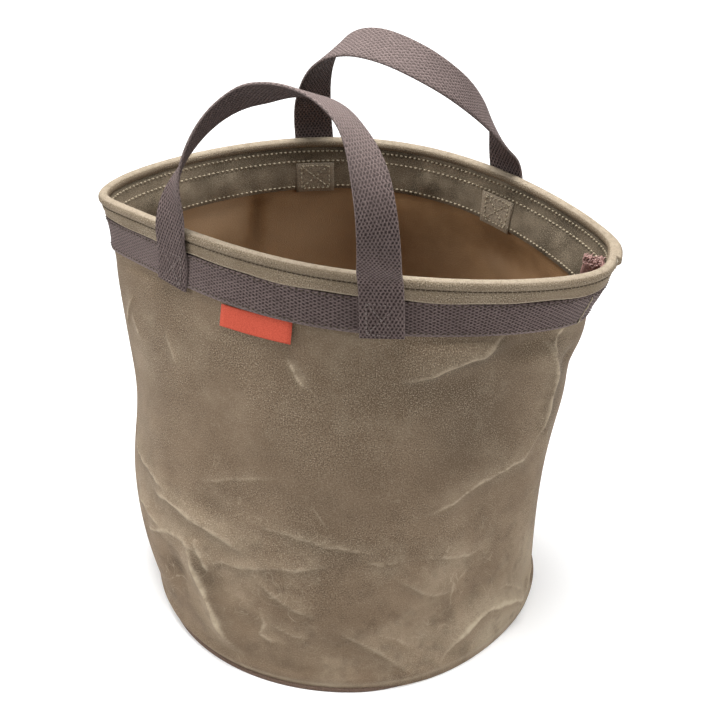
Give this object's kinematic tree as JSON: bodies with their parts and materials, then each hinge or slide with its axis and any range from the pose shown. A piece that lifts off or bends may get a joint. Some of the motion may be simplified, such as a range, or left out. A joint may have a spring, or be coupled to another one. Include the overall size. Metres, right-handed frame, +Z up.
{
  "type": "canvas harvest bucket",
  "caption": "Soft waxed-canvas harvest bucket with a round base, a corded lens-shaped mouth, a webbing band and a pair of swinging webbing handles.",
  "frame": {"origin": "centre of the round base, on the floor", "axes": "+Z up; +X towards the side seam, along the mouth's length; the front handle is on the -Y side"},
  "size_m": [0.3819, 0.3136, 0.4486],
  "materials": {
    "canvas": "waxed, dull, with light creases",
    "facing": "plain woven canvas, matt",
    "binding": "folded cotton canvas, matt",
    "webbing": "herringbone cotton webbing, matt",
    "tape": "brown woven tape, matt",
    "tag": "blank woven tag",
    "thread": "cotton thread",
    "cord": "twisted cotton cord"
  },
  "bodies": {
    "bucket": {"base_panel": "canvas", "base_binding": "tape", "side_panel": "canvas", "rim_facing": "facing", "rim_cord": "cord", "rim_binding": "binding", "webbing_band": "webbing", "rim_stitch_row": "thread", "upper_stitch_row": "thread", "lower_stitch_row": "thread", "seam_tape": "tape", "front_right_foot": "webbing", "front_right_box_stitch": "thread", "front_right_patch": "facing", "front_left_foot": "webbing", "front_left_box_stitch": "thread", "front_left_patch": "facing", "rear_left_foot": "webbing", "rear_left_box_stitch": "thread", "rear_left_patch": "facing", "rear_right_foot": "webbing", "rear_right_box_stitch": "thread", "rear_right_patch": "facing"},
    "front_loop": {"front_handle": "webbing"},
    "rear_loop": {"rear_handle": "webbing"},
    "tag_flap": {"tag": "tag"}
  },
  "joints": [
    {"name": "front_handle_swing", "type": "hinge", "parent": "bucket", "child": "front_loop", "pos_m": [-0.03515, -0.10283, 0.33], "axis": [0.9546, -0.2977, 0], "range_deg": [-48, 145]},
    {"name": "rear_handle_swing", "type": "hinge", "parent": "bucket", "child": "rear_loop", "pos_m": [0.02301, 0.11642, 0.33], "axis": [-0.992, 0.1262, 0], "range_deg": [-15, 185]},
    {"name": "tag_lift", "type": "hinge", "parent": "bucket", "child": "tag_flap", "pos_m": [-0.03243, -0.10455, 0.28055], "axis": [-0.9579, 0.2872, 0], "range_deg": [0, 90]}
  ]
}
